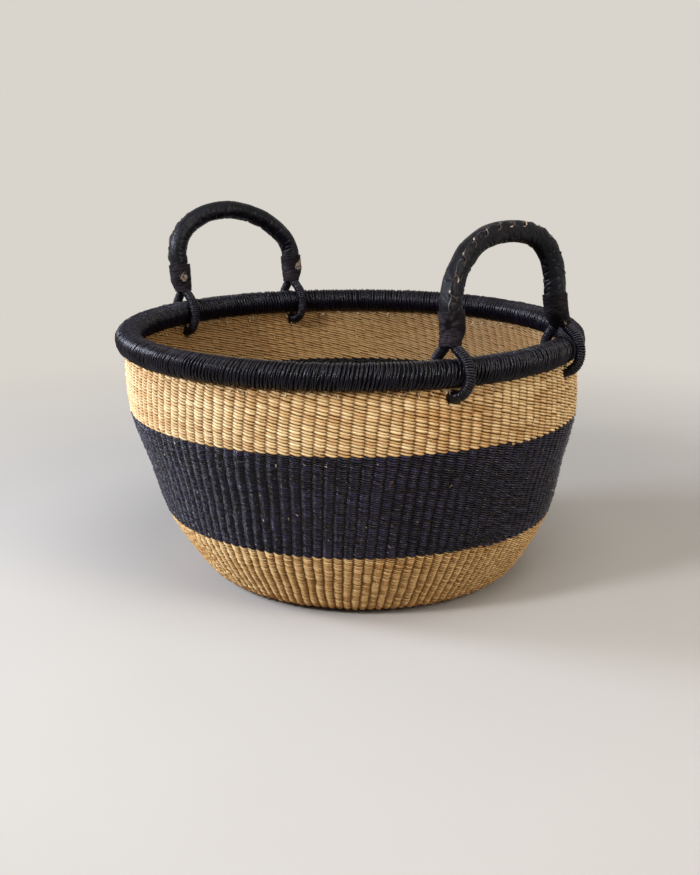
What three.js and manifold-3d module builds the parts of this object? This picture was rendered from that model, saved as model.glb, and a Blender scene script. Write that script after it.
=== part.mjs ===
// Twined grass basket with two leather covered carrying handles that pivot on the rim.
// Millimetres, +Z up, origin at the centre of the base's underside, +X out through the front handle.
import * as THREE from "three";
import { mergeVertices } from "three/addons/utils/BufferGeometryUtils.js";
import Module from "manifold-3d";

const wasm = await Module();
wasm.setup();

// Basket body, sizes on the outer face of the weave
const rimRadius = 200; // centre line of the rim, in plan
const rimHeight = 219; // centre line of the rim above the floor
const rimThickness = 23; // across the wrapped rim
const wallThickness = 6;
const baseRadius = 122;
const cornerRadius = 142;
const cornerHeight = 6.3;
const heelRadius = 155.5;
const heelHeight = 23;
const lowerBandRadius = 178.5; // where the lower band ends
const lowerBandHeight = 63;
const bellyRadius = 191;
const bellyHeight = 109;
const middleBandRadius = 203.5; // where the middle band ends
const middleBandDrop = 65; // below the rim's centre line
const shoulderRadius = 205;
const shoulderDrop = 33; // below the rim's centre line
const baseLift = 0.5; // the wall starts this far above the base's underside
const rimShift = 12; // a hand-made lean: the rim's centre lies this far off the base's
const rimShiftTurn = -131; // and in this direction, in degrees from +X

// Rim and eyes
const rimStrand = 2.4; // thickness of the grass skin wound round the rim
const seat = 0.3; // clearance between pieces that touch
const eyeCoreThickness = 5; // the grass bundle bent round the rim
const eyeStrandThickness = 1.5;
const eyeStrandWidth = 2.6;
const eyeStrandGap = 0.5; // between the bundle and the strand wound on it
const eyeTurns = 24;
const eyePlay = 0.4; // room for the wound eye round the rim and in its slot
const eyeLegOffset = 3.2; // half the distance between the bundle's two ends in the cuff
const eyeLegBend = 8; // radius where the two ends turn to run side by side
const eyeLegBendHeight = 26; // height above the rim's centre line where that bend starts
const eyeEndHeight = 35; // height of the bundle's ends, inside the cuff

// Handle grip and cuffs
const gripThickness = 18.5; // across the leather
const leatherThickness = 1.4;
const cuffThickness = 21;
const cuffMouthWidth = 12.8; // lower end of the cuff, along the rim
const cuffMouthDepth = 20; // lower end of the cuff, across the rim
const cuffBottom = 21.5; // heights above the rim's centre line
const cuffTop = 48;
const cuffPlay = 0.6; // room in the cuff for the eye's slanting legs
const laceWidth = 1.6;
const laceThickness = 1;
const laceReach = 2.2; // how far each stitch crosses to either side of the seam
const lacePitch = 15;
const seamTurn = 45; // the seam lies this many degrees from the crest, towards the outside

// Each handle: turn is its direction in plan, lean its tilt outwards, in degrees;
// heights are above the rim's centre line, and roundness is the arch's exponent (2 is an ellipse);
// sway is how far the crest stands to the right of the arch's middle, seen from outside
const frontHandle = {
  name: "front_handle",
  turn: 2.75,
  lean: -8,
  eyeSpan: 140,
  legSpan: 130,
  springHeight: 45,
  crestHeight: 103.5,
  roundness: 2.4,
  sway: 8,
};
const backHandle = {
  name: "back_handle",
  turn: 175.5,
  lean: 8,
  eyeSpan: 129,
  legSpan: 133,
  springHeight: 52,
  crestHeight: 99,
  roundness: 1.92,
  sway: 8.6,
};

// How finely the curves are cut
const ringSegments = 40;
const rimSegments = 12;
const rimCoreSides = 8;
const gripSides = 10;
const gripSteps = 24;
const eyeSides = 6;
const eyeSteps = 44;
const cuffSides = 12;
const cuffBoreSteps = 4;
const windingSteps = 8;

const degree = Math.PI / 180;
const rimCoreRadius = rimThickness / 2 - rimStrand - seat;
const wallTop = rimHeight - rimCoreRadius - seat;
const middleBandHeight = rimHeight - middleBandDrop;
const eyeRadius = eyeCoreThickness / 2 + eyeStrandGap + eyeStrandThickness;
const shift = new THREE.Vector2(rimShift, 0).rotateAround(new THREE.Vector2(), rimShiftTurn * degree);
const rimCentre = new THREE.Vector3(shift.x, shift.y, rimHeight);

const grass = { roughness: 0.8, metalness: 0 };
const natural = new THREE.MeshStandardMaterial({ color: "#d3a870", ...grass });
const indigo = new THREE.MeshStandardMaterial({ color: "#2a2b3b", ...grass });
const black = new THREE.MeshStandardMaterial({ color: "#1c1c24", ...grass });
const leather = new THREE.MeshStandardMaterial({ color: "#1b1b20", roughness: 0.55, metalness: 0 });
const thong = new THREE.MeshStandardMaterial({ color: "#6b5645", roughness: 0.6, metalness: 0 });

// Shared corners merged and faces turned outwards, so that the geometry is one closed solid.
function closed(geometry) {
  const bare = geometry.clone();
  bare.deleteAttribute("normal");
  bare.deleteAttribute("uv");
  const merged = mergeVertices(bare, 1e-3);
  const index = merged.index.array;
  const corners = [new THREE.Vector3(), new THREE.Vector3(), new THREE.Vector3()];
  let volume = 0;
  for (let i = 0; i < index.length; i += 3) {
    corners.forEach((corner, k) => corner.fromBufferAttribute(merged.attributes.position, index[i + k]));
    volume += corners[0].dot(corners[1].clone().cross(corners[2]));
  }
  if (volume < 0) index.reverse();
  merged.computeVertexNormals();
  return merged;
}

function toManifold(geometry) {
  const solid = closed(geometry);
  const vertProperties = new Float32Array(solid.attributes.position.array);
  return new wasm.Manifold(
    new wasm.Mesh({ numProp: 3, vertProperties, triVerts: new Uint32Array(solid.index.array) }),
  );
}

function toGeometry(solid) {
  const mesh = solid.getMesh();
  const geometry = new THREE.BufferGeometry();
  geometry.setAttribute("position", new THREE.BufferAttribute(mesh.vertProperties, 3));
  geometry.setIndex(new THREE.BufferAttribute(mesh.triVerts, 1));
  return geometry;
}

function part(name, geometry, material) {
  const mesh = new THREE.Mesh(closed(geometry), material);
  mesh.name = name;
  return mesh;
}

// A profile of [radius, height] points turned about the basket's upright axis.
function turned(points) {
  const profile = points.map(([radius, height]) => new THREE.Vector2(radius, height));
  return new THREE.LatheGeometry(profile, ringSegments).rotateX(Math.PI / 2);
}

function polygon(sides, radius) {
  const corners = [];
  for (let i = 0; i < sides; i++) {
    const angle = (2 * Math.PI * i) / sides;
    corners.push(new THREE.Vector2(radius * Math.cos(angle), radius * Math.sin(angle)));
  }
  return corners;
}

function tube(path, steps, sides, radius, boreRadius = 0) {
  const section = new THREE.Shape(polygon(sides, radius));
  if (boreRadius > 0) section.holes.push(new THREE.Path(polygon(sides, boreRadius).reverse()));
  return new THREE.ExtrudeGeometry(section, { steps, extrudePath: path, bevelEnabled: false });
}

// Rings of points, all of one count, joined into a skin; the ends are capped, or the last ring meets the first.
function skin(rings, endless = false) {
  const sides = rings[0].length;
  const positions = rings.flat().flatMap((point) => point.toArray());
  const faces = [];
  const last = endless ? rings.length : rings.length - 1;
  for (let i = 0; i < last; i++) {
    const next = (i + 1) % rings.length;
    for (let k = 0; k < sides; k++) {
      const a = i * sides + k;
      const b = i * sides + ((k + 1) % sides);
      const c = next * sides + k;
      const d = next * sides + ((k + 1) % sides);
      faces.push(a, b, c, b, d, c);
    }
  }
  if (!endless) {
    const top = (rings.length - 1) * sides;
    for (let k = 1; k < sides - 1; k++) faces.push(0, k + 1, k, top, top + k, top + k + 1);
  }
  const geometry = new THREE.BufferGeometry();
  geometry.setAttribute("position", new THREE.Float32BufferAttribute(positions, 3));
  geometry.setIndex(faces);
  return geometry;
}

// A flat strand: at each frame its thickness stands along out and its width along side.
function strand(frames, width, thickness) {
  const rings = frames.map(({ at, out, side }) => {
    const across = out.clone().multiplyScalar(thickness / 2);
    const along = side.clone().multiplyScalar(width / 2);
    return [
      at.clone().add(across).add(along),
      at.clone().add(across).sub(along),
      at.clone().sub(across).sub(along),
      at.clone().sub(across).add(along),
    ];
  });
  return skin(rings);
}

// Woven body

const wallCurve = new THREE.CatmullRomCurve3(
  [
    [baseRadius, baseLift],
    [cornerRadius, cornerHeight],
    [heelRadius, heelHeight],
    [lowerBandRadius, lowerBandHeight],
    [bellyRadius, bellyHeight],
    [middleBandRadius, middleBandHeight],
    [shoulderRadius, rimHeight - shoulderDrop],
    [rimRadius + wallThickness / 2, wallTop],
  ].map(([radius, height]) => new THREE.Vector3(radius, 0, height)),
  false,
  "centripetal",
);
const wallLength = wallCurve.getLength();

// Share of the wall's length at which its outer face reaches a height.
function shareAtHeight(height) {
  let low = 0;
  let high = 1;
  for (let i = 0; i < 40; i++) {
    const middle = (low + high) / 2;
    if (wallCurve.getPointAt(middle).z < height) low = middle;
    else high = middle;
  }
  return (low + high) / 2;
}

// The rim stands a little off centre over the base, so each level of the weave is moved towards it.
function leaned(geometry) {
  const shear = new THREE.Matrix4();
  shear.elements[8] = shift.x / wallTop;
  shear.elements[9] = shift.y / wallTop;
  return geometry.applyMatrix4(shear);
}

function band(fromShare, toShare, rows) {
  const outside = [];
  const inside = [];
  for (let i = 0; i <= rows; i++) {
    const share = fromShare + ((toShare - fromShare) * i) / rows;
    const point = wallCurve.getPointAt(share);
    const tangent = wallCurve.getTangentAt(share);
    outside.push([point.x, point.z]);
    const inner = Math.max(baseRadius, point.x - wallThickness * tangent.z);
    inside.unshift([inner, point.z + wallThickness * tangent.x]);
  }
  return leaned(turned([...outside, ...inside, outside[0]]));
}

const halfJoint = seat / 2 / wallLength;
const lowerShare = shareAtHeight(lowerBandHeight);
const middleShare = shareAtHeight(middleBandHeight);

function baseWeave() {
  const edge = baseRadius - seat;
  return leaned(turned([[0, 0], [edge, 0], [edge, wallThickness], [0, wallThickness]]));
}

function upperBand(slots) {
  let solid = toManifold(band(middleShare + halfJoint, 1, 4));
  for (const slot of slots) solid = solid.subtract(toManifold(slot));
  return toGeometry(solid);
}

// Rim: a bundle of bent-over stakes in a wound skin that is open below, where the wall comes in

function rimSection(radius, angles) {
  return angles.map((angle) => [rimRadius + radius * Math.cos(angle), radius * Math.sin(angle)]);
}

// Equal steps from one angle to another, both ends included.
function angleSteps(from, to, count) {
  return Array.from({ length: count + 1 }, (_, i) => from + ((to - from) * i) / count);
}

const rimCoreAngles = angleSteps(-Math.PI / 2, 1.5 * Math.PI, rimCoreSides);

function rimCore() {
  return turned(rimSection(rimCoreRadius, rimCoreAngles));
}

// The skin's inner corners lie over the core's, so that the two keep their clearance all round.
function rimWrap() {
  const innerRadius = rimCoreRadius + seat;
  const mouth = Math.asin((wallThickness / 2 + seat) / innerRadius);
  const start = mouth - Math.PI / 2;
  const end = 1.5 * Math.PI - mouth;
  const outer = rimSection(rimThickness / 2, angleSteps(start, end, rimSegments));
  const innerAngles = [start, ...rimCoreAngles.filter((angle) => angle > start && angle < end), end];
  const section = [...outer, ...rimSection(innerRadius, innerAngles.reverse())];
  return turned([...section, section[0]]);
}

// Handles, each in its own frame: X outwards, Y along the line of its eyes, Z up through its crest

// Sizes that one handle's pieces share.
function handleFrame(spec) {
  const eyeHalf = spec.eyeSpan / 2;
  const legHalf = spec.legSpan / 2;
  const slant = Math.asin(eyeHalf / rimRadius);
  const bore = rimThickness / 2 / Math.cos(slant) + eyeRadius * Math.tan(slant) + eyePlay;
  const ringRadius = bore + eyeRadius;
  // Distance of a leg from the handle's middle: over the eye it moves in under the arch, and then follows it
  const legAt = (height) => {
    const share = THREE.MathUtils.smoothstep(height, ringRadius, eyeEndHeight);
    const rise = Math.max(0, height - spec.springHeight) / (spec.crestHeight - spec.springHeight);
    const inward = Math.max(0, 1 - rise ** spec.roundness) ** (1 / spec.roundness);
    return (eyeHalf + (legHalf - eyeHalf) * share) * inward;
  };
  return { eyeHalf, ringRadius, legAt };
}

// Centre line of the grip, from inside one cuff to inside the other.
function gripCurve(spec, frame) {
  const bottom = eyeEndHeight + seat;
  const half = [];
  for (let i = 0; i < gripSteps; i++) {
    const rise = Math.sin((Math.PI * i) / gripSteps / 2);
    const height = bottom + (spec.crestHeight - bottom) * rise;
    half.push([frame.legAt(height), height]);
  }
  const points = [...half, [0, spec.crestHeight], ...half.map(([y, z]) => [-y, z]).reverse()];
  return new THREE.CatmullRomCurve3(
    points.map(([y, z]) => {
      const sway = spec.sway * THREE.MathUtils.smoothstep(z, cuffTop, spec.crestHeight);
      return new THREE.Vector3(0, sway - y, z);
    }),
    false,
    "centripetal",
  );
}

// Centre line of an eye in its own plane: up the legs to the cuff, and round the rim between them.
function eyePath(ringRadius) {
  const bendX = eyeLegOffset + eyeLegBend;
  const reach = Math.hypot(bendX, eyeLegBendHeight);
  const turn = Math.atan2(eyeLegBendHeight, bendX) - Math.acos((ringRadius + eyeLegBend) / reach);
  const path = new THREE.Path();
  path.moveTo(eyeLegOffset, eyeEndHeight);
  path.lineTo(eyeLegOffset, eyeLegBendHeight);
  path.absarc(bendX, eyeLegBendHeight, eyeLegBend, Math.PI, Math.PI + turn, false);
  path.absarc(0, 0, ringRadius, turn, Math.PI - turn, true);
  path.absarc(-bendX, eyeLegBendHeight, eyeLegBend, -turn, 0, false);
  path.lineTo(-eyeLegOffset, eyeEndHeight);
  return path;
}

// The same line in the handle's frame, on one side: -1 is left and 1 is right, seen from outside.
function eyeCurve(frame, side) {
  const flat = eyePath(frame.ringRadius);
  const points = flat.getSpacedPoints(4 * eyeSteps);
  return new THREE.CatmullRomCurve3(
    points.map((point) => new THREE.Vector3(point.x, side * frame.legAt(point.y), point.y)),
    false,
    "centripetal",
  );
}

// Frames of a strand wound round a curve, between two shares of its length.
function windingFrames(curve, fromShare, toShare) {
  const frames = [];
  const radius = eyeCoreThickness / 2 + eyeStrandGap + eyeStrandThickness / 2;
  const count = eyeTurns * windingSteps;
  for (let i = 0; i <= count; i++) {
    const share = fromShare + ((toShare - fromShare) * i) / count;
    const tangent = curve.getTangentAt(share);
    const level = new THREE.Vector3(0, 1, 0).addScaledVector(tangent, -tangent.y).normalize();
    const upright = tangent.clone().cross(level);
    const angle = (2 * Math.PI * i) / windingSteps;
    const out = level.multiplyScalar(Math.cos(angle)).addScaledVector(upright, Math.sin(angle));
    frames.push({ at: curve.getPointAt(share).addScaledVector(out, radius), out, side: tangent });
  }
  return frames;
}

// Least distance between the facing edges of neighbouring turns, measured on points along them.
function leastGap(frames) {
  const edge = (i, inset, depth) => {
    const { at, out, side } = frames[i];
    return at.clone().addScaledVector(side, inset).addScaledVector(out, depth);
  };
  const pointsPerStep = 4;
  let least = Infinity;
  for (let i = 0; i + windingSteps + 1 < frames.length; i++) {
    for (const depth of [-eyeStrandThickness / 2, eyeStrandThickness / 2]) {
      for (let k = 0; k <= pointsPerStep; k++) {
        const share = k / pointsPerStep;
        const here = edge(i, eyeStrandWidth / 2, depth).lerp(edge(i + 1, eyeStrandWidth / 2, depth), share);
        const j = i + windingSteps;
        const line = new THREE.Line3(edge(j, -eyeStrandWidth / 2, depth), edge(j + 1, -eyeStrandWidth / 2, depth));
        least = Math.min(least, line.closestPointToPoint(here, true, new THREE.Vector3()).distanceTo(here));
      }
    }
  }
  return least;
}

function eyeWrap(name, curve) {
  const length = curve.getLength();
  const heights = (share) => curve.getPointAt(share).z;
  let start = eyeStrandWidth / length;
  while (heights(start) + eyeRadius > cuffBottom) start += seat / length;
  const frames = windingFrames(curve, start, 1 - start);
  console.log(name + ": " + eyeTurns + " turns, least gap to itself " + leastGap(frames).toFixed(2) + " mm");
  return strand(frames, eyeStrandWidth, eyeStrandThickness);
}

// One level of a cuff: an outline with straight flanks, its half depth across the rim and half width along it.
function cuffOutline(frame, side, height, halfDepth, halfWidth) {
  const outline = [];
  for (let i = 0; i < cuffSides; i++) {
    const angle = (2 * Math.PI * (i + 0.5)) / cuffSides;
    const flank = Math.sign(Math.cos(angle)) * (halfDepth - halfWidth);
    const x = flank + halfWidth * Math.cos(angle);
    const y = side * frame.legAt(height) + halfWidth * Math.sin(angle);
    outline.push(new THREE.Vector3(x, y, height));
  }
  return outline;
}

// Leather sleeve over the end of the grip, drawn in below round the two legs of the eye.
function cuff(frame, side) {
  const flat = 1 / Math.cos(Math.PI / cuffSides); // keeps the flats clear of what is inside
  const legHalf = (eyeCoreThickness / 2 + cuffPlay) * flat;
  const gripHalf = (gripThickness / 2 + seat) * flat;
  const full = (cuffThickness / 2) * flat;
  const length = cuffTop - cuffBottom;
  const lip = (cuffTop - eyeEndHeight) / 4;
  const mouthSpread = eyeSpread(frame, cuffBottom) + legHalf + cuffPlay;
  const neckSpread = eyeLegOffset + legHalf;
  const level = (height, depth, width) => cuffOutline(frame, side, height, depth, width);
  const legBore = [];
  for (let i = 0; i <= cuffBoreSteps; i++) {
    const height = THREE.MathUtils.lerp(eyeEndHeight, cuffBottom, i / cuffBoreSteps);
    legBore.push(level(height, THREE.MathUtils.lerp(neckSpread, mouthSpread, i / cuffBoreSteps), legHalf));
  }
  return skin(
    [
      level(cuffBottom, cuffMouthDepth / 2, cuffMouthWidth / 2),
      level(cuffBottom + length / 5, (cuffMouthDepth / 2 + full) / 2, (cuffMouthWidth / 2 + full) / 2),
      level(eyeEndHeight - seat, full, full),
      level(cuffTop - lip, full, full),
      level(cuffTop, (full + gripHalf) / 2, (full + gripHalf) / 2),
      level(cuffTop, gripHalf, gripHalf),
      level(eyeEndHeight, gripHalf, gripHalf),
      ...legBore,
    ],
    true,
  );
}

// Distance of an eye's leg from the middle of its plane, at a height above the rim's centre line.
function eyeSpread(frame, height) {
  const points = eyePath(frame.ringRadius).getSpacedPoints(4 * eyeSteps);
  const upper = points.filter((point) => point.x > 0 && point.y >= height);
  return upper[upper.length - 1].x;
}

// Thong that laces the leather's edges together along the grip, from cuff to cuff.
function lacing(curve) {
  const length = curve.getLength();
  const covered = (cuffTop - eyeEndHeight + lacePitch / 2) / length;
  const stitches = Math.round((length * (1 - 2 * covered)) / lacePitch);
  const radius = gripThickness / 2 + seat + laceThickness / 2;
  const swing = laceReach / radius;
  const frames = [];
  for (let i = 0; i <= 2 * stitches; i++) {
    const share = covered + ((1 - 2 * covered) * i) / (2 * stitches);
    const tangent = curve.getTangentAt(share);
    const crest = new THREE.Vector3(0, -tangent.z, tangent.y);
    const angle = seamTurn * degree + (i % 2 ? swing : -swing);
    const out = crest.multiplyScalar(Math.cos(angle)).add(new THREE.Vector3(Math.sin(angle), 0, 0));
    const side = out.clone().cross(tangent);
    frames.push({ at: curve.getPointAt(share).addScaledVector(out, radius), out, side });
  }
  return strand(frames, laceWidth, laceThickness);
}

// The group that turns a handle's frame into place on the rim, upright.
function handleSeat(spec, frame) {
  const reach = Math.sqrt(rimRadius ** 2 - frame.eyeHalf ** 2);
  const turn = spec.turn * degree;
  const place = new THREE.Group();
  place.position.copy(rimCentre).add(new THREE.Vector3(reach * Math.cos(turn), reach * Math.sin(turn), 0));
  place.rotation.z = turn;
  return place;
}

// Boxes that open the weave just under the rim, where a handle's two eyes pass through the wall.
function eyeSlots(spec) {
  const frame = handleFrame(spec);
  const place = handleSeat(spec, frame);
  place.updateMatrixWorld(true);
  const width = 2 * (eyeRadius + eyePlay);
  const depth = 2 * frame.ringRadius;
  const bottom = -(frame.ringRadius + eyeRadius + eyePlay);
  return [-1, 1].map((side) => {
    const box = new THREE.BoxGeometry(depth, width, -bottom);
    box.translate(0, side * frame.eyeHalf, bottom / 2);
    return box.applyMatrix4(place.matrixWorld);
  });
}

function handle(spec) {
  const frame = handleFrame(spec);
  const curve = gripCurve(spec, frame);
  const coreRadius = gripThickness / 2 - leatherThickness - seat;
  const place = handleSeat(spec, frame);
  const arch = new THREE.Group();
  arch.rotation.y = spec.lean * degree;
  place.add(arch);
  const boreRadius = gripThickness / 2 - leatherThickness;
  const cover = tube(curve, gripSteps, gripSides, gripThickness / 2, boreRadius);
  const core = tube(curve, gripSteps, gripSides, coreRadius);
  arch.add(
    part(spec.name + "_core", core, natural),
    part(spec.name + "_leather", cover, leather),
    part(spec.name + "_lacing", lacing(curve), thong),
  );
  for (const [label, side] of [["left", -1], ["right", 1]]) {
    const name = spec.name + "_" + label;
    const bundle = eyeCurve(frame, side);
    arch.add(
      part(name + "_cuff", cuff(frame, side), leather),
      part(name + "_eye", tube(bundle, eyeSteps, eyeSides, eyeCoreThickness / 2), black),
      part(name + "_eye_wrap", eyeWrap(name + "_eye_wrap", bundle), black),
    );
  }
  return place;
}

const basket = new THREE.Group();
const slots = [...eyeSlots(frontHandle), ...eyeSlots(backHandle)];
basket.add(
  part("base_weave", baseWeave(), natural),
  part("lower_band", band(0, lowerShare - halfJoint, 5), natural),
  part("middle_band", band(lowerShare + halfJoint, middleShare - halfJoint, 3), indigo),
  part("upper_band", upperBand(slots), natural),
);
const rim = new THREE.Group();
rim.position.copy(rimCentre);
rim.add(part("rim_core", rimCore(), natural), part("rim_wrap", rimWrap(), black));
basket.add(rim, handle(frontHandle), handle(backHandle));

export default basket;
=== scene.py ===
import math
import bpy
from mathutils import Matrix, Vector, noise


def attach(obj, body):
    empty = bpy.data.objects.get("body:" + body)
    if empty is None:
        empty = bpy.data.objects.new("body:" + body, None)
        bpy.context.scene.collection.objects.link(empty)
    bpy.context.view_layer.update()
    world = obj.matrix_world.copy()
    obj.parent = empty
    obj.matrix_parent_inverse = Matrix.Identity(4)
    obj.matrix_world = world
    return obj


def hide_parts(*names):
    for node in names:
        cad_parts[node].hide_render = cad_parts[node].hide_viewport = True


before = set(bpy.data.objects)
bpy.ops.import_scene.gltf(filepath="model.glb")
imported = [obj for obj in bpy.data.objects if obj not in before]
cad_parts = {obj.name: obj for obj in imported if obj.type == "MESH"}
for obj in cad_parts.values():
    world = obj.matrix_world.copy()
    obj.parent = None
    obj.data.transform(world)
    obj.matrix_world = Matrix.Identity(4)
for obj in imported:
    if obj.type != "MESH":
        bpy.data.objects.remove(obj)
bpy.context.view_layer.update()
print("frame loaded")


# Node trees are written as Python expressions: a Wire stands for a socket, and its operators add Math nodes
class Wire:
    def __init__(self, graph, socket):
        self.graph = graph
        self.socket = socket

    def __add__(self, other):
        return self.graph.maths("ADD", self, other)

    def __radd__(self, other):
        return self.graph.maths("ADD", other, self)

    def __sub__(self, other):
        return self.graph.maths("SUBTRACT", self, other)

    def __rsub__(self, other):
        return self.graph.maths("SUBTRACT", other, self)

    def __mul__(self, other):
        return self.graph.maths("MULTIPLY", self, other)

    def __truediv__(self, other):
        return self.graph.maths("DIVIDE", self, other)

    def __gt__(self, other):
        return self.graph.maths("GREATER_THAN", self, other)

    def __lt__(self, other):
        return self.graph.maths("LESS_THAN", self, other)

    def also(self, name):
        return Wire(self.graph, self.socket.node.outputs[name])


def isVector(value):
    return isinstance(value, Wire) and value.socket.type == "VECTOR"


class Graph:
    def __init__(self, tree):
        self.tree = tree
        tree.nodes.clear()

    def feed(self, socket, value):
        if isinstance(value, Wire):
            self.tree.links.new(value.socket, socket)
        elif isinstance(value, list):
            for wire in value:
                self.tree.links.new(wire.socket, socket)
        elif socket.type == "VECTOR" and isinstance(value, (int, float)):
            socket.default_value = (value, value, value)
        else:
            socket.default_value = value

    # Any node: its settings first, then its sockets by number or name
    def add(self, kind, settings=None, inputs=None, output=0):
        node = self.tree.nodes.new(kind)
        for name, value in (settings or {}).items():
            setattr(node, name, value)
        for place, value in (inputs or {}).items():
            self.feed(node.inputs[place], value)
        return Wire(self, node.outputs[output])

    def maths(self, operation, *values):
        kind = "ShaderNodeVectorMath" if any(map(isVector, values)) else "ShaderNodeMath"
        return self.add(kind, {"operation": operation}, dict(enumerate(values)))

    # Vector maths that gives a number
    def measure(self, operation, *values):
        return self.add("ShaderNodeVectorMath", {"operation": operation}, dict(enumerate(values)), "Value")

    def vector(self, x, y, z):
        return self.add("ShaderNodeCombineXYZ", {}, {0: x, 1: y, 2: z})

    # Share from 0 to 1, smooth at both ends, of a value's way from one number to another
    def fade(self, value, low, high):
        settings = {"interpolation_type": "SMOOTHSTEP"}
        return self.add("ShaderNodeMapRange", settings, {"Value": value, "From Min": low, "From Max": high})

    def noise(self, place, scale=1.0, detail=2.0):
        inputs = {"Vector": place, "Scale": scale, "Detail": detail}
        return self.add("ShaderNodeTexNoise", {"noise_dimensions": "3D"}, inputs)

    def chance(self, low, high, number, seed=0):
        inputs = {"Min": low, "Max": high, "ID": number, "Seed": seed}
        return self.add("FunctionNodeRandomValue", {"data_type": "FLOAT"}, inputs, 1)

    def blend(self, share, one, other):
        return self.add("ShaderNodeMix", {"data_type": "RGBA"}, {0: share, 6: one, 7: other}, 2)


# A tree and its inputs, which are listed by their kind; each tree also has its pieces' material
def newTree(name, kinds):
    tree = bpy.data.node_groups.new(name, "GeometryNodeTree")
    tree.interface.new_socket(name="Geometry", in_out="OUTPUT", socket_type="NodeSocketGeometry")
    labels = []
    for kind, group in {"Material": ["Material"], **kinds}.items():
        for label in group:
            tree.interface.new_socket(name=label, in_out="INPUT", socket_type="NodeSocket" + kind)
            labels.append(label)
    graph = Graph(tree)
    source = tree.nodes.new("NodeGroupInput")
    return graph, {label: Wire(graph, source.outputs[label]) for label in labels}


def keep(graph, geometry, name, value):
    kind = "FLOAT_VECTOR" if isVector(value) else "FLOAT"
    inputs = {"Geometry": geometry, "Name": name, "Value": value}
    return graph.add("GeometryNodeStoreNamedAttribute", {"data_type": kind}, inputs)


def named(graph, name, kind="FLOAT"):
    return graph.add("GeometryNodeInputNamedAttribute", {"data_type": kind}, {"Name": name})


# Points in one line, to be put in place by their index
def pointLine(graph, count):
    return graph.add("GeometryNodeMeshLine", {"mode": "OFFSET", "count_mode": "TOTAL"}, {"Count": count})


# Points in a line for each stem, with each point's stem and its share of the stem's length
def stemLines(graph, count, steps):
    index = graph.add("GeometryNodeInputIndex")
    stem = graph.maths("FLOOR", (index + 0.5) / steps)
    ends = graph.add("GeometryNodeInputMeshEdgeVertices")
    first = graph.maths("FLOOR", (ends + 0.5) / steps)
    last = graph.maths("FLOOR", (ends.also("Vertex Index 2") + 0.5) / steps)
    joins = graph.maths("ABSOLUTE", first - last) > 0.5  # from one stem's end to the next one's start
    lines = graph.add("GeometryNodeDeleteGeometry", {"domain": "EDGE", "mode": "EDGE_FACE"}, {
        "Geometry": pointLine(graph, steps * count), "Selection": joins})
    return lines, stem, (index - stem * steps) / (steps - 1)


# A guide's point at a "LENGTH" along it, or at a "FACTOR" of its length
def sampleGuide(graph, guide, mode, value):
    line = graph.add("GeometryNodeObjectInfo", {}, {"Object": guide}).also("Geometry")
    return graph.add("GeometryNodeSampleCurve", {"mode": mode}, {"Curves": line, mode.capitalize(): value})


# A place round a guide that lies in one plane, and the way outwards there
def roundGuide(graph, given, share, angle, radius):
    sample = sampleGuide(graph, given["Guide"], "FACTOR", share)
    out = graph.maths("CROSS_PRODUCT", sample.also("Tangent"), given["Axis"])
    facing = out * graph.maths("COSINE", angle) + given["Axis"] * graph.maths("SINE", angle)
    return sample.also("Position") + facing * radius, facing


# Flat section of a strand; "side" tells the material how far a point lies across it
def strandSection(graph, width, thickness, sides):
    ring = graph.add("GeometryNodeCurvePrimitiveCircle", {}, {"Resolution": sides, "Radius": 1.0})
    across = graph.add("ShaderNodeSeparateXYZ", {}, {0: graph.add("GeometryNodeInputPosition")}).also("Y")
    ring = keep(graph, ring, "side", across)
    return graph.add("GeometryNodeTransform", {}, {
        "Geometry": ring, "Scale": graph.vector(thickness * 0.5, width * 0.5, 1)})


# A tree's end: its points keep their values and are put in place, and each line of them gets its section,
# which turns to "facing" and grows by "size". Then come smooth faces, real ones for instances, the material
def endStrands(graph, given, points, place, sides, values, gone=None):
    for name, value in values.items():
        points = keep(graph, points, name, value)
    points = graph.add("GeometryNodeSetPosition", {}, {"Geometry": points, "Position": place})
    if gone:
        points = graph.add("GeometryNodeDeleteGeometry", {"domain": "POINT"}, {
            "Geometry": points, "Selection": gone > 0.5})
    strands = graph.add("GeometryNodeMeshToCurve", {}, {"Mesh": points})
    if "facing" in values:
        strands = graph.add("GeometryNodeSetCurveNormal", {"mode": "FREE"}, {
            "Curve": strands, "Normal": named(graph, "facing", "FLOAT_VECTOR")})
    width = given["Width"] if "Width" in given else given["Thickness"]
    section = strandSection(graph, width, given["Thickness"], sides)
    inputs = {"Curve": strands, "Profile Curve": section, "Fill Caps": True}
    if "size" in values:
        inputs["Scale"] = named(graph, "size")
    strands = graph.add("GeometryNodeCurveToMesh", {}, inputs)
    strands = graph.add("GeometryNodeSetShadeSmooth", {}, {"Geometry": strands})
    strands = graph.add("GeometryNodeRealizeInstances", {}, {"Geometry": strands})
    strands = graph.add("GeometryNodeSetMaterial", {}, {"Geometry": strands, "Material": given["Material"]})
    graph.feed(graph.tree.nodes.new("NodeGroupOutput").inputs[0], strands)
    return graph.tree


def newObject(name, data):
    made = bpy.data.objects.new(name, data)
    bpy.context.collection.objects.link(made)
    return made


# Runs a tree with its inputs set and keeps the result as a plain mesh
def grow(name, tree, values):
    piece = newObject(name, bpy.data.meshes.new(name))
    modifier = piece.modifiers.new(name, "NODES")
    modifier.node_group = tree
    for item in tree.interface.items_tree:
        if item.in_out == "INPUT":
            modifier[item.identifier] = values[item.name]
    evaluated = piece.evaluated_get(bpy.context.evaluated_depsgraph_get())
    mesh = bpy.data.meshes.new_from_object(evaluated)
    piece.modifiers.clear()
    piece.data = mesh
    mesh.name = name
    return piece


def settle(piece, body, slot, *nodes):
    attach(piece, body)
    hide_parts(*nodes)


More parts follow.
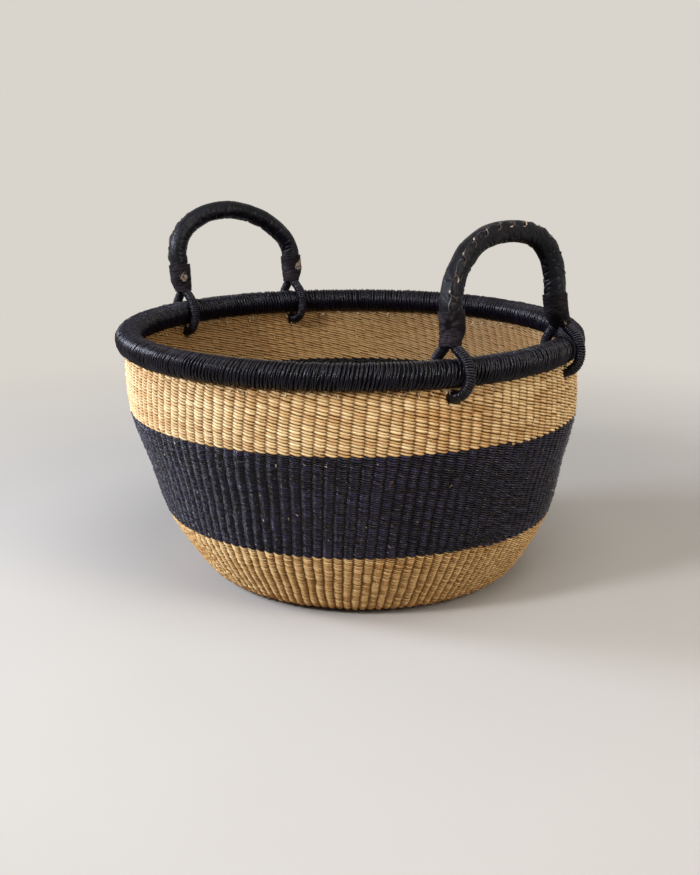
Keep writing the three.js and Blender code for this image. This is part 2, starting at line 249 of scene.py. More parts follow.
def guideLine(name, points, closed=False):
    data = bpy.data.curves.new(name, "CURVE")
    data.dimensions = "3D"
    spline = data.splines.new("POLY")
    spline.points.add(len(points) - 1)
    for place, point in zip(spline.points, points):
        place.co = (*point, 1)
    spline.use_cyclic_u = closed
    return newObject(name, data)


def meshPiece(name, points, faces, material):
    mesh = bpy.data.meshes.new(name)
    mesh.from_pydata(points, [], faces)
    mesh.materials.append(material)
    mesh.shade_smooth()
    return newObject(name, mesh)


# Sizes that several pieces share, in metres
wall = {
    "line": [(0.122, 0.0005), (0.142, 0.0063), (0.1555, 0.023), (0.1785, 0.063),
             (0.191, 0.109), (0.2035, 0.154), (0.205, 0.186), (0.203, 0.2099)],
    "hole": 0.003,  # radius at which the base begins
    "start": 0.119,  # the length along the weave, from the middle of the base, at which it begins to rise
    "lowerTop": 0.063, "middleTop": 0.154,  # heights at which the lower and middle bands end
    "middle": 0.003,  # from the outer face to the middle of the weave
    "stakes": 131,
    "stakeGap": 0.0095,
    "blade": 17.3,  # stakes that one blade of grass passes
    "sway": 2.6, "swayAround": 7, "swayUp": 45,  # how far the stakes bend, and how often round and up
    "ribLean": 0.65,  # the ribs lean as they rise, in radians round the basket per metre of the wall
}
rim = {"centre": Vector((-0.007873, -0.009056, 0.219)), "radius": 0.2, "thickness": 0.023}
handles = {
    "front_handle": {"turn": 2.75, "lean": -8, "eyeHalf": 0.07, "legHalf": 0.065,
                     "spring": 0.045, "crest": 0.1035, "roundness": 2.4, "sway": 0.008},
    "back_handle": {"turn": 175.5, "lean": 8, "eyeHalf": 0.0645, "legHalf": 0.0665,
                    "spring": 0.052, "crest": 0.099, "roundness": 1.92, "sway": 0.0086},
}
eye = {
    "radius": 0.0045, "play": 0.0004, "legOffset": 0.0032, "bend": 0.008, "bendHeight": 0.026, "end": 0.035,
    "hole": 0.006, "cut": 0.0013,  # the hole in the weave, and how near its middle a strand is cut
}


# Where a handle sits on the rim, and the radius of its eyes' centre line
def seatHandle(shape):
    slant = math.asin(shape["eyeHalf"] / rim["radius"])
    bore = rim["thickness"] / 2 / math.cos(slant) + eye["radius"] * math.tan(slant) + eye["play"]
    shape["ring"] = bore + eye["radius"]
    turn = math.radians(shape["turn"])
    shape["outwards"] = Vector((math.cos(turn), math.sin(turn), 0))
    shape["across"] = Vector((-math.sin(turn), math.cos(turn), 0))
    reach = math.sqrt(rim["radius"] ** 2 - shape["eyeHalf"] ** 2)
    seat = Matrix.Translation(rim["centre"] + shape["outwards"] * reach)
    lean = Matrix.Rotation(math.radians(shape["lean"]), 4, "Y")
    shape["place"] = seat @ Matrix.Rotation(turn, 4, "Z") @ lean


for shape in handles.values():
    seatHandle(shape)


# Materials

def paint(code):
    shares = [int(code[i:i + 2], 16) / 255 for i in (1, 3, 5)]
    return (*[c / 12.92 if c <= 0.04045 else ((c + 0.055) / 1.055) ** 2.4 for c in shares], 1)


def newMaterial(name):
    material = bpy.data.materials.new(name)
    material.use_nodes = True
    return material, Graph(material.node_tree)


# A material's last nodes, with what the shader's inputs get
def endMaterial(graph, inputs):
    shader = graph.add("ShaderNodeBsdfPrincipled", {}, inputs)
    graph.feed(graph.tree.nodes.new("ShaderNodeOutputMaterial").inputs[0], shader)


def attribute(graph, name):
    return graph.add("ShaderNodeAttribute", {"attribute_name": name}, {}, "Fac")


def objectPlace(graph):
    return graph.add("ShaderNodeTexCoord", {}, {}, "Object")


# Grass strand: its blades differ in tone and fine fibres run along it. Shade is painted into its colour: it
# is darker at its edges, most of all where it dives between stakes, and along the inside
def grassMaterial(name, look):
    material, graph = newMaterial(name)
    where = objectPlace(graph)
    tone = attribute(graph, "tone")
    along = attribute(graph, "along")
    side = attribute(graph, "side")
    bulge = attribute(graph, "bulge")
    lay = side * look["fibres"] + along * look["fibreTwist"]
    fibre = graph.noise(graph.vector(along * look["fibreLength"], lay, tone * 40), 1, 3)
    patch = graph.noise(where, look["patchScale"], 3)
    share = graph.fade(tone * 0.6 + patch * 0.7 + fibre * 0.3, *look["toneRange"])
    colour = graph.blend(share, paint(look["dark"]), paint(look["light"]))
    fleck = graph.fade(graph.noise(where, look["fleckScale"], 1), *look["fleckRange"])
    colour = graph.blend(fleck * look["fleckShare"], colour, paint(look["fleck"]))
    # Painted shade along the inside, where the strand passes behind the stakes
    inner = graph.fade(0 - bulge, -0.6, 0.1)
    colour = graph.blend(inner * look["innerShadeShare"], colour, paint(look["inner"]))
    # Painted shade between strands: towards each strand's edges, more where it dives between stakes
    dive = 1 - graph.fade(graph.maths("ABSOLUTE", bulge), 0.0, 0.8)
    edge = graph.fade(graph.maths("ABSOLUTE", side), look["edgeShadeStart"], 1.0)
    paintedShade = edge * (look["gapShare"] + dive * look["diveShadeShare"])
    relief = {"Strength": look["relief"], "Distance": 0.0004, "Height": fibre}
    endMaterial(graph, {
        "Base Color": graph.blend(paintedShade, colour, paint(look["gap"])),
        "Roughness": look["roughness"] + fibre * 0.25,
        "Specular IOR Level": look["gloss"], "Normal": graph.add("ShaderNodeBump", {}, relief)})
    return material


# What a grass has unless its own look says otherwise
plainLook = {
    # Painted shade: the gap and inner shade colours, with their shares, are off unless a look sets them
    "gap": "#000000", "gapShare": 0, "diveShadeShare": 0, "edgeShadeStart": 0.3, "inner": "#000000", "innerShadeShare": 0,
    "fleckShare": 0.4, "fleckScale": 160, "fleckRange": (0.6, 0.75), "patchScale": 20,
    "toneRange": (0.45, 1.15), "fibreLength": 60, "fibres": 3, "fibreTwist": 0,
    "roughness": 0.6, "relief": 0.5, "gloss": 0.1,
}
# Painted shade: dark brown at the strands' edges and in the gaps, and a darker tan along the inside
naturalLook = {
    **plainLook, "dark": "#cd9e62", "light": "#fce3ad", "gap": "#4e2e12", "gapShare": 0.52, "diveShadeShare": 0.35,
    "inner": "#926b39", "innerShadeShare": 0.85, "fleck": "#94683a", "fleckShare": 0.5, "fleckScale": 170,
    "fleckRange": (0.68, 0.78), "patchScale": 14, "fibreLength": 90, "fibres": 2.5, "fibreTwist": 60,
    "roughness": 0.42, "relief": 0.7, "gloss": 0.4,
}
naturalGrass = grassMaterial("natural grass", naturalLook)
# Low on the wall the grass is a darker gold, with deeper painted shade in its gaps and along the inside
goldenGrass = grassMaterial("golden grass", {
    **naturalLook, "dark": "#cd964f", "light": "#fddb9c", "gap": "#2a1506", "gapShare": 0.95,
    "inner": "#865f30"})
# Painted shade: near black in the gaps and along the inside, which leaves the rib crowns lighter
indigoGrass = grassMaterial("indigo grass", {
    **plainLook, "dark": "#0b0912", "light": "#2c2740", "gap": "#010102", "gapShare": 0.75, "diveShadeShare": 0.25,
    "inner": "#030205", "innerShadeShare": 0.95, "fleck": "#a3907f", "fleckShare": 0.5, "fleckScale": 420,
    "fleckRange": (0.68, 0.74), "toneRange": (0.6, 1.1), "fibreLength": 90, "fibres": 2.5, "fibreTwist": 90,
    "roughness": 0.15, "relief": 1.0, "gloss": 0.28,
})
# Painted shade: near black towards the strands' edges
blackLook = {
    **plainLook, "dark": "#060409", "light": "#191422", "gap": "#010102", "gapShare": 0.9,
    "fleck": "#262a3c", "fleckShare": 0.5, "fleckScale": 260, "fleckRange": (0.6, 0.72), "patchScale": 40,
    "fibreLength": 150, "fibres": 2, "fibreTwist": 450, "roughness": 0.15, "relief": 1.0, "gloss": 0.26,
}
blackGrass = grassMaterial("black grass", blackLook)
# The winding's under layer of black grass, coloured near black as painted shade deep between the strands
shadedUnderGrass = grassMaterial("shaded under grass", {
    **blackLook, "dark": "#020203", "light": "#050508", "gap": "#010101", "gapShare": 0.5,
    "fleck": "#0b0c14", "fleckShare": 0.3, "roughness": 0.6, "relief": 0.5, "gloss": 0.1,
})
rawGrass = grassMaterial("raw grass", {
    **plainLook, "dark": "#75522c", "light": "#a5814f", "fleck": "#5a3d1f", "gloss": 0.3})
# Painted shade: the stakes are darker than their natural grass, and near black at their edges, where they
# show between the strands
shadedStakeGrass = grassMaterial("shaded stake grass", {
    **plainLook, "dark": "#4a341b", "light": "#6e5330", "gap": "#060302", "gapShare": 1.0, "edgeShadeStart": 0.25,
    "fleck": "#3c2813", "roughness": 0.7,
})
strayGrass = grassMaterial("stray grass", {
    **plainLook, "dark": "#d8bb88", "light": "#f7ead0", "fleck": "#b08b58", "fibres": 1,
    "roughness": 0.5, "relief": 0.3, "gloss": 0.4,
})


# Soft black leather: fine grain, creases, brown where the dye is rubbed off, and painted shade in a marked
# hole
def leatherMaterial(name, look):
    material, graph = newMaterial(name)
    where = objectPlace(graph)
    grain = graph.add("ShaderNodeTexVoronoi", {"feature": "F1"}, {
        "Vector": where, "Scale": look["grainScale"]})
    crease = graph.noise(where, look["creaseScale"], 5)
    cloud = graph.noise(where, look["cloudScale"], 3)
    worn = graph.fade(graph.noise(where, look["wearScale"], 4), *look["wearRange"])
    colour = graph.blend(graph.fade(cloud, 0.35, 0.7), paint(look["dark"]), paint(look["light"]))
    specks = (graph.noise(where, look["speckScale"], 4) - 0.5) * look["speckContrast"] + 1
    rubbed = graph.fade(attribute(graph, "rubbed") * specks, 0.4, 1.0)
    worn = graph.maths("MAXIMUM", worn, rubbed)
    colour = graph.blend(worn * look["wearShare"], colour, paint(look["wear"]))
    relief = {"Strength": look["relief"], "Distance": 0.0006, "Height": crease * 0.8 + grain * 0.25}
    # Where the hole attribute is set, the colour goes near black: painted shade in the hole
    endMaterial(graph, {
        "Base Color": graph.blend(attribute(graph, "hole"), colour, paint("#010101")),
        "Roughness": graph.fade(crease, 0.2, 0.8) * 0.25 + look["roughness"],
        "Specular IOR Level": look["gloss"], "Normal": graph.add("ShaderNodeBump", {}, relief)})
    return material


gripLook = {
    "dark": "#050509", "light": "#0d0c15", "wear": "#6e645f", "wearShare": 0.6, "wearScale": 60,
    "wearRange": (0.7, 0.8), "grainScale": 900, "creaseScale": 160, "cloudScale": 40, "speckScale": 160,
    "speckContrast": 9, "roughness": 0.28, "relief": 0.7, "gloss": 0.14,
}
gripLeather = leatherMaterial("black leather", gripLook)
cuffLeather = leatherMaterial("cuff leather", {
    **gripLook, "dark": "#0d0b0f", "light": "#2a2428", "wear": "#9c8a7a", "wearShare": 0.8, "wearScale": 75,
    "wearRange": (0.66, 0.76), "creaseScale": 200, "cloudScale": 60, "speckScale": 700, "speckContrast": 14,
    "roughness": 0.5, "relief": 1.0, "gloss": 0.07,
})
# The thong's pale patches are partly worn leather and partly a painted highlight for the glints along its
# edges
thongLeather = leatherMaterial("thong leather", {
    **gripLook, "dark": "#2a2220", "light": "#4a3d36", "wear": "#c3ad97", "wearShare": 0.9, "wearScale": 140,
    "wearRange": (0.5, 0.64), "grainScale": 1200, "creaseScale": 300, "cloudScale": 150,
    "roughness": 0.5, "relief": 0.4, "gloss": 0.2,
})
print("materials made")


# Woven wall: a line from the middle of the base, out under it and up the wall's outer face

def partWay(start, end, share):
    return start + (end - start) * share


# Centripetal curve through the points, as the solids' wall has
def smoothLine(points, steps):
    ends = [Vector(point) for point in points]
    ends = [2 * ends[0] - ends[1]] + ends + [2 * ends[-1] - ends[-2]]
    line = []
    for a, b, c, d in zip(ends, ends[1:], ends[2:], ends[3:]):
        times = [0]
        for near, far in ((a, b), (b, c), (c, d)):
            times.append(times[-1] + math.sqrt((far - near).length))
        for i in range(steps):
            t = times[1] + (times[2] - times[1]) * i / steps
            ab, bc, cd = [partWay(p, q, (t - times[k]) / (times[k + 1] - times[k]))
                          for k, (p, q) in enumerate(((a, b), (b, c), (c, d)))]
            abc = partWay(ab, bc, (t - times[0]) / (times[2] - times[0]))
            bcd = partWay(bc, cd, (t - times[1]) / (times[3] - times[1]))
            line.append(partWay(abc, bcd, i / steps))
    line.append(Vector(points[-1]))
    return line


underside = [Vector((wall["hole"], 0))] + [Vector((0.01 * i, 0)) for i in range(1, 13)]
outline = underside + smoothLine(wall["line"], 24)
wallGuide = guideLine("wall line", [(point.x, 0, point.y) for point in outline])
lengths = [0.0]
for near, far in zip(outline, outline[1:]):
    lengths.append(lengths[-1] + (far - near).length)
wallEnd = lengths[-1]


def lengthAtHeight(height):
    for i in range(len(underside), len(outline)):
        if outline[i].y >= height:
            return lengths[i]
    return wallEnd


# Puts a point of the wall at its turn round the basket. The rim is off centre, so each level moves with it
def onWall(graph, given, length, angle, outwards, upwards):
    sample = sampleGuide(graph, given["Line"], "LENGTH", length)
    at = graph.add("ShaderNodeSeparateXYZ", {}, {0: sample.also("Position")})
    way = graph.add("ShaderNodeSeparateXYZ", {}, {0: sample.also("Tangent")})
    wayOut = way.also("X")
    wayUp = way.also("Z")
    lift = outwards - given["Middle"]
    radius = at.also("X") + wayUp * lift + wayOut * upwards
    height = at.also("Z") - wayOut * lift + wayUp * upwards
    angle = angle + (graph.maths("MAXIMUM", length, wall["start"]) - wallEnd) * wall["ribLean"]
    cosine = graph.maths("COSINE", angle)
    sine = graph.maths("SINE", angle)
    shift = rim["centre"] / wall["line"][-1][1]
    place = graph.vector(radius * cosine + height * shift.x, radius * sine + height * shift.y, height)
    facing = graph.vector(wayUp * cosine, wayUp * sine, 0 - wayOut)
    return place, facing, graph.vector(0 - sine, cosine, 0), height


# The stakes aren't quite straight: by how much each leaves its even place, in radians
def stakeSway(graph, angle, length):
    x = graph.maths("COSINE", angle) * wall["swayAround"]
    y = graph.maths("SINE", angle) * wall["swayAround"]
    return (graph.noise(graph.vector(x, y, length * wall["swayUp"])) - 0.5) * (wall["sway"] / wall["stakes"])


# Each eye of a handle passes through a round hole in the weave: stakes and strands are pushed aside there,
# and what would cross the hole is cut. Nothing moves on the other side of the basket, which isn't near
def roundEyes(graph, place, tangent, height):
    gone = 0
    for shape in handles.values():
        across = tuple(shape["across"])
        below = graph.maths("ABSOLUTE", height - (rim["centre"].z - shape["ring"])) / eye["hole"]
        width = graph.maths("SQRT", graph.maths("MAXIMUM", 1 - below * below, 0)) * eye["hole"]
        for side in (-1, 1):
            middle = rim["centre"] + shape["across"] * side * shape["eyeHalf"]
            offset = place - tuple(middle)
            away = graph.measure("DOT_PRODUCT", offset, across)
            near = graph.measure("DOT_PRODUCT", offset, tuple(shape["outwards"])) > -0.02
            push = graph.maths("SQRT", away * away + width * width) - graph.maths("ABSOLUTE", away)
            push = push * graph.maths("SIGN", away) * near
            turnWay = graph.maths("SIGN", graph.measure("DOT_PRODUCT", tangent, across))
            place = place + tangent * (push * turnWay)
            here = (graph.maths("ABSOLUTE", away) < eye["cut"]) * (below < 0.95) * near
            gone = here + gone
    return place, gone


# Rows of two strands that wind up the wall and cross between the stakes
def makeStrandTree(withEyes):
    graph, given = newTree("twined strands", {
        "Object": ["Line"], "Int": ["Stakes", "Rows", "Steps", "Seed"],
        "Float": ["Middle", "Start", "Pitch", "Bulge", "Twist", "Width", "Thickness", "Pinch", "Waver",
                  "Uneven"]})
    count = given["Rows"] * given["Stakes"] * given["Steps"] + 1
    line = pointLine(graph, count)
    twin = graph.add("GeometryNodeTransform", {}, {"Geometry": line, "Translation": (1, 0, 0)})
    pair = graph.add("GeometryNodeJoinGeometry", {}, {0: [line, twin]})
    index = graph.add("GeometryNodeInputIndex")
    second = index > (count - 0.5)
    passed = (index - second * count) / given["Steps"]  # stakes passed so far
    turns = passed / given["Stakes"]
    crossing = (passed + second) * math.pi
    stake = graph.maths("FLOOR", passed + 0.5)
    seed = given["Seed"]
    # The second strand of a pair draws numbers of its own
    loose = graph.chance(-1.0, 1.0, stake + second * 7001, seed)
    blade = graph.maths("FLOOR", passed / wall["blade"] + second * 0.5)
    tone = graph.chance(0.0, 1.0, blade + second * 3001, seed + 5)
    wander = graph.noise(graph.vector(passed * 0.21, seed * 3.7, 0.5)) - 0.5
    around = turns * (2 * math.pi)
    length = given["Start"] + turns * given["Pitch"]
    arc = graph.maths("COSINE", crossing)
    inside = graph.maths("MINIMUM", arc, 0)
    outwards = given["Bulge"] * (arc - inside * 0.4) * (1 + loose * given["Uneven"])
    upwards = (wander * 2 + loose * 0.5) * given["Waver"] - given["Twist"] * graph.maths("SINE", crossing)
    place, facing, tangent, height = onWall(
        graph, given, length, around + stakeSway(graph, around, length), outwards, upwards)
    size = (1 - given["Pinch"] * (1 - graph.maths("ABSOLUTE", arc))) * (1 + loose * given["Uneven"])
    gone = None
    if withEyes:
        place, gone = roundEyes(graph, place, tangent, height)
    return endStrands(graph, given, pair, place, 4, {
        "tone": tone * 0.45 + loose * 0.15 + 0.3, "bulge": arc, "along": passed * wall["stakeGap"],
        "facing": facing, "size": size}, gone)


lowerEnd = lengthAtHeight(wall["lowerTop"])
middleEnd = lengthAtHeight(wall["middleTop"])
upperEnd = wallEnd - 0.0005
lowerHalf = (wall["start"] + lowerEnd) / 2
middleHalf = (lowerEnd + middleEnd) / 2
upperHalf = middleEnd + (upperEnd - middleEnd) * 10 / 21
onTheWall = {"Line": wallGuide, "Middle": wall["middle"]}
allStakes = wall["stakes"]
# Long bands are made in parts that follow on from each other: where each starts and ends, and its stakes.
# A strand is as wide as its row is high, times the cover
bands = {
    "base_weave": {
        "parts": {"middle": (0.001, 0.036, 33), "inner": (0.036, 0.074, 65),
                  "outer": (0.074, wall["start"], allStakes)},
        "slot": "natural_grass", "Material": naturalGrass, "rowHeight": 0.0023, "cover": 1.02, "Steps": 3,
        "Bulge": 0.0017, "Thickness": 0.0022, "Pinch": 0.1, "Uneven": 0.12},
    "lower_band": {
        "parts": {"below": (wall["start"], lowerHalf, allStakes), "above": (lowerHalf, lowerEnd, allStakes)},
        "slot": "natural_grass", "Material": goldenGrass, "rowHeight": 0.00205, "cover": 0.88, "Steps": 4,
        "Bulge": 0.0016, "Thickness": 0.0029, "Pinch": 0.1, "Uneven": 0.22},
    "middle_band": {
        "parts": {"below": (lowerEnd, middleHalf, allStakes), "above": (middleHalf, middleEnd, allStakes)},
        "slot": "indigo_grass", "Material": indigoGrass, "rowHeight": 0.0021, "cover": 1.0, "Steps": 4,
        "Bulge": 0.002, "Thickness": 0.0024, "Pinch": 0.2, "Uneven": 0.15},
    "upper_band": {
        "parts": {"below": (middleEnd, upperHalf, allStakes), "above": (upperHalf, upperEnd, allStakes)},
        "slot": "natural_grass", "Material": naturalGrass, "rowHeight": 0.00255, "cover": 1.02, "Steps": 5,
        "Bulge": 0.0018, "Thickness": 0.0026, "Pinch": 0.1, "Uneven": 0.14},
}
strandTrees = {False: makeStrandTree(False), True: makeStrandTree(True)}
seed = 1
for node, band in bands.items():
    for label, (start, end, stakes) in band["parts"].items():
        rows = max(1, round((end - start) / band["rowHeight"]))
        pitch = (end - start) / rows
        piece = grow(node + "_" + label, strandTrees[node == "upper_band"], {
            **band, **onTheWall, "Start": start, "Pitch": pitch, "Stakes": stakes, "Rows": rows, "Seed": seed,
            "Width": pitch * band["cover"], "Twist": pitch * 0.4, "Waver": pitch * 0.2})
        settle(piece, "basket", band["slot"], node)
        print(piece.name, rows, "rows", len(piece.data.polygons) * 2, "triangles")
        seed += 1


# Stakes: straight bundles of stems from the base to the rim, gripped between the strands
def makeStakeTree():
    graph, given = newTree("stakes", {
        "Object": ["Line"], "Int": ["Stakes", "Steps"],
        "Float": ["Middle", "Start", "End", "Width", "Thickness", "Radius"]})
    lines, stake, share = stemLines(graph, given["Stakes"], given["Steps"])
    length = given["Start"] + share * (given["End"] - given["Start"])
    angle = stake / given["Stakes"] * (2 * math.pi)
    place, facing, tangent, height = onWall(
        graph, given, length, angle + stakeSway(graph, angle, length), 0.0, 0.0)
    fromAxis = graph.measure("LENGTH", place * (1.0, 1.0, 0.0))
    place = roundEyes(graph, place, tangent, height)[0]
    return endStrands(graph, given, lines, place, 6, {
        "tone": graph.chance(0.0, 1.0, stake), "bulge": 1.0, "along": length,
        "facing": facing, "size": fromAxis / given["Radius"]})


stakeTree = makeStakeTree()
# The stakes' widths are those at the radius where their set ends
stakeSets = {
    "stakes_of_middle": {"Start": 0.002, "End": 0.036, "Stakes": 33, "Steps": 8,
                         "Width": 0.0082, "Radius": 0.036, "nodes": ["base_weave"]},
    "stakes_of_base": {"Start": 0.03, "End": 0.074, "Stakes": 65, "Steps": 10,
                       "Width": 0.0084, "Radius": 0.074, "nodes": ["base_weave"]},
    "stakes": {"Start": 0.07, "End": wallEnd, "Stakes": allStakes, "Steps": 60,
               "Width": 0.0118, "Radius": 0.203, "nodes": list(bands)},
}
for name, stakes in stakeSets.items():
    piece = grow(name, stakeTree, {**stakes, **onTheWall, "Material": shadedStakeGrass, "Thickness": 0.0014})
    settle(piece, "basket", "natural_grass", *stakes["nodes"])


# Loose ends and split fibres that stand off the weave, on both of its faces
def makeFibreTree():
    graph, given = newTree("stray fibres", {
        "Object": ["Line"], "Int": ["Fibres", "Steps", "Seed"],
        "Float": ["Middle", "Start", "End", "Reach", "Lift", "Thickness"]})
    lines, fibre, share = stemLines(graph, given["Fibres"], given["Steps"])

    def chance(number, low, high):
        return graph.chance(low, high, fibre, given["Seed"] + number)

    way = chance(1, -1.2, 1.2) + share * chance(2, -0.9, 0.9)
    run = share * given["Reach"] * chance(3, 0.4, 1.0)
    face = graph.maths("SIGN", chance(4, -1.0, 1.4))
    length = chance(5, 0.0, 1.0) * (given["End"] - given["Start"]) + given["Start"]
    length = length + run * graph.maths("SINE", way)
    angle = chance(6, 0.0, 2 * math.pi) + run * graph.maths("COSINE", way) / wall["line"][-1][0]
    outwards = face * (given["Middle"] * 0.93 + given["Lift"] * share * share * chance(7, 0.0, 1.0))
    place = onWall(graph, given, length, angle, outwards, 0.0)[0]
    return endStrands(graph, given, lines, place, 3, {
        "tone": chance(8, 0.0, 1.0), "bulge": 1.0, "along": share})


fibreTree = makeFibreTree()
fibreSets = {
    "fibres_under_rim": {
        "Start": wallEnd - 0.006, "End": wallEnd - 0.003, "Fibres": 300, "Reach": 0.0045, "Lift": 0.004,
        "Thickness": 0.0007, "slot": "natural_grass", "node": "upper_band"},
    "fibres_of_upper_band": {
        "Start": middleEnd, "End": wallEnd - 0.01, "Fibres": 90, "Reach": 0.006, "Lift": 0.002,
        "Thickness": 0.0004, "slot": "natural_grass", "node": "upper_band"},
    "fibres_of_middle_band": {
        "Start": lowerEnd, "End": middleEnd, "Fibres": 110, "Reach": 0.003, "Lift": 0.0015,
        "Thickness": 0.0005, "slot": "indigo_grass", "node": "middle_band"},
}
for name, fibres in fibreSets.items():
    piece = grow(name, fibreTree, {
        **fibres, **onTheWall, "Material": strayGrass, "Steps": 6, "Seed": fibres["Fibres"]})
    settle(piece, "basket", fibres["slot"], fibres["node"])
print("weave and stakes done")


# Strand wound round a guide line
def makeWindingTree():
    graph, given = newTree("winding", {
        "Object": ["Guide"], "Vector": ["Axis"], "Int": ["Turns", "Steps", "Seed"],
        "Float": ["Radius", "Lean", "Waver", "Width", "Thickness", "Length"]})
    line = pointLine(graph, given["Turns"] * given["Steps"] + 1)
    passed = graph.add("GeometryNodeInputIndex") / given["Steps"]
    turn = passed * (2 * math.pi)
    seed = given["Seed"]
    loose = graph.noise(graph.vector(passed * 0.9, seed * 5.1, 0.3), 1, 3) - 0.5
    puff = graph.noise(graph.vector(passed * 1.3, seed * 2.3, graph.maths("SINE", turn) * 0.6)) - 0.5
    ripple = graph.noise(graph.vector(passed * 6, seed * 3.1, 0.7), 1, 1) - 0.5
    slide = given["Lean"] * graph.maths("SINE", turn) + (loose + ripple * 0.5) * given["Waver"]
    share = passed / given["Turns"] + slide / given["Length"]
    place, facing = roundGuide(graph, given, share, turn, given["Radius"] + puff * given["Waver"] * 0.6)
    return endStrands(graph, given, line, place, 4, {
        "tone": graph.noise(graph.vector(passed * 0.37, seed * 1.7, 0.9)), "bulge": 1.0,
        "along": passed * given["Radius"] * (2 * math.pi), "facing": facing, "size": 1 + loose * 0.9})


windingTree = makeWindingTree()
rimPoints = [rim["centre"] + rim["radius"] * Vector((math.cos(a), math.sin(a), 0))
             for a in [math.radians(i - 146) for i in range(360)]]
rimGuide = guideLine("rim line", rimPoints, True)
roundTheRim = {"Guide": rimGuide, "Axis": (0.0, 0.0, 1.0), "Length": 2 * math.pi * rim["radius"]}
rimLayers = {
    "rim_wrap_under": {"Turns": 380, "Steps": 14, "Radius": 0.0099, "Width": 0.0042, "Thickness": 0.0014,
                       "Lean": 0.001, "Waver": 0.0004, "Material": shadedUnderGrass},
    "rim_wrap_strand": {"Turns": 400, "Steps": 20, "Radius": 0.0107, "Width": 0.0015, "Thickness": 0.0018,
                        "Lean": 0.0012, "Waver": 0.0045, "Material": blackGrass},
    "rim_wrap_filling": {"Turns": 370, "Steps": 20, "Radius": 0.0105, "Width": 0.0015, "Thickness": 0.0018,
                         "Lean": 0.0026, "Waver": 0.0045, "Material": blackGrass},
}
for name, layer in rimLayers.items():
    piece = grow(name, windingTree, {**roundTheRim, **layer, "Seed": layer["Turns"]})
    settle(piece, "basket", "black_grass", "rim_wrap")


# Stems side by side in a loosely twisted bundle along a guide line
def makeBundleTree():
    graph, given = newTree("bundle", {
        "Object": ["Guide"], "Vector": ["Axis"], "Int": ["Stems", "Steps"],
        "Float": ["Radius", "Twist", "Thickness"]})
    lines, stem, share = stemLines(graph, given["Stems"], given["Steps"])
    turn = stem / given["Stems"] * (2 * math.pi) + share * given["Twist"]
    place = roundGuide(graph, given, share * 0.998 + 0.001, turn, given["Radius"])[0]
    return endStrands(graph, given, lines, place, 5, {
        "tone": graph.chance(0.0, 1.0, stem), "bulge": 1.0, "along": share})


bundleTree = makeBundleTree()
rimBundle = grow("rim_core_stems", bundleTree, {
    **roundTheRim, "Material": rawGrass, "Stems": 14, "Steps": 200, "Radius": 0.0068, "Twist": 9.0,
    "Thickness": 0.0034})
settle(rimBundle, "basket", "raw_grass", "rim_core")
print("rim wound")


# Handles: each in its own frame, X outwards, Y along the line of its eyes, Z up, from the rim's centre line

cuff = {
    "bottom": 0.0215, "top": 0.048, "full": 0.0105, "mouthDepth": 0.0102, "mouthWidth": 0.0062,
    "grip": 0.00955, "leg": 0.003, "skin": 0.001, "levels": 60, "sides": 56,
    "fold": 0.0009, "foldWidth": 0.18, "gather": 0.0008,
}
leather = {
    "radius": 0.00925, "thickness": 0.0014, "sides": 64, "step": 0.0008, "seam": 42, "crowding": 0.65,
    "ridge": 0.0015, "lapWidth": 26, "slant": 1.6, "lump": 0.0006, "crease": 0.0011, "foldWidth": 0.16,
    "play": 0.0003, "bareFrom": 0.009, "bareTo": 0.0135,
}
lacing = {"pitch": 0.015, "end": 0.018, "Reach": 0.0026, "Lift": 0.001, "Width": 0.0012, "Thickness": 0.0008}
gripCore = {"Stems": 12, "Steps": 70, "Radius": 0.0052, "Twist": 3.0, "Thickness": 0.0036}
eyeCore = {"Stems": 4, "Steps": 80, "Radius": 0.0013, "Twist": 6.0, "Thickness": 0.0022}
eyeWinding = {
    "pitch": 0.0019, "Steps": 14, "Width": 0.0023, "Thickness": 0.0016, "Waver": 0.0008, "Lean": 0.0006}
# Marks on the cuffs: angle in degrees, height, width, and the shares of a pleated hole (painted shade) and of
# a rubbed patch
cuffMarks = {
    "front_handle_left_cuff_leather": [(-66, 0.0372, 0.0036, 1, 0)],
    "front_handle_right_cuff_leather": [(-30, 0.0235, 0.002, 0, 0.9)],
    "back_handle_left_cuff_leather": [(-170, 0.036, 0.0045, 0, 0.8)],
    "back_handle_right_cuff_leather": [(170, 0.0355, 0.0045, 0, 0.9)],
}


def smoothShare(value, low, high):
    share = min(1, max(0, (value - low) / (high - low)))
    return share * share * (3 - 2 * share)


# Distance of a leg from the handle's middle at a height: in under the arch over the eye, then along the arch
def legAt(shape, height):
    share = smoothShare(height, shape["ring"], eye["end"])
    rise = max(0, height - shape["spring"]) / (shape["crest"] - shape["spring"])
    inward = max(0, 1 - rise ** shape["roundness"]) ** (1 / shape["roundness"])
    return (shape["eyeHalf"] + (shape["legHalf"] - shape["eyeHalf"]) * share) * inward


def gripPoints(shape):
    low = eye["end"] + leather["play"]
    half = []
    for i in range(90):
        height = low + (shape["crest"] - low) * math.sin(math.pi * i / 180)
        half.append((legAt(shape, height), height))
    points = [(-y, z) for y, z in half] + [(0, shape["crest"])] + list(reversed(half))
    return [Vector((0, y + shape["sway"] * smoothShare(z, cuff["top"], shape["crest"]), z))
            for y, z in points]


